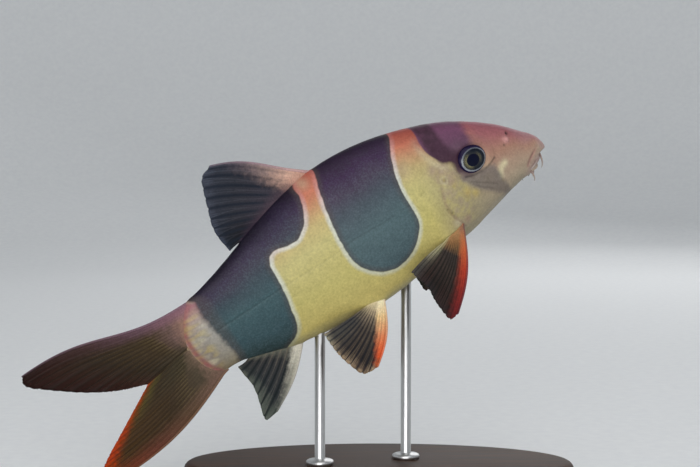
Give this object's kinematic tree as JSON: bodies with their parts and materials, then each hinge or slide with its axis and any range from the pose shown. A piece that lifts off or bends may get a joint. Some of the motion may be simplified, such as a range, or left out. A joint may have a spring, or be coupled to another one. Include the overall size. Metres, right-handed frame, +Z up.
{
  "type": "clown loach model",
  "caption": "Life-size still model of a clown loach swimming nose up, with rayed fins, barbels and banded skin, held on an oval wooden base by thin steel rods.",
  "frame": {"origin": "middle of the underside of the stand's base", "axes": "+Z up; +X the way the fish heads, nose up and turned a little to +Y; the fish's right side, which the picture shows, faces -Y"},
  "size_m": [0.1572, 0.062, 0.1066],
  "materials": {
    "fish_skin": "satin, moist-looking scaled skin",
    "fin_membrane": "satin, thin rayed membrane",
    "eye": "polished, wet-looking",
    "barbel": "soft satin",
    "stand_wood": "dark stained, satin",
    "stand_steel": "brushed"
  },
  "bodies": {
    "root": {"head": "fish_skin", "torso": "fish_skin", "tail_stalk": "fish_skin", "eye_left": "eye", "eye_right": "eye", "dorsal_fin": "fin_membrane", "anal_fin": "fin_membrane", "tail_fin_upper": "fin_membrane", "tail_fin_lower": "fin_membrane", "pelvic_fin_left": "fin_membrane", "pelvic_fin_right": "fin_membrane", "pectoral_fin_left": "fin_membrane", "pectoral_fin_right": "fin_membrane", "barbel_rostral_inner_left": "barbel", "barbel_rostral_inner_right": "barbel", "barbel_rostral_outer_left": "barbel", "barbel_rostral_outer_right": "barbel", "barbel_maxillary_left": "barbel", "barbel_maxillary_right": "barbel", "barbel_mandibular_left": "barbel", "barbel_mandibular_right": "barbel", "stand_base": "stand_wood", "stand_rod_front": "stand_steel", "stand_rod_rear": "stand_steel"}
  },
  "joints": []
}
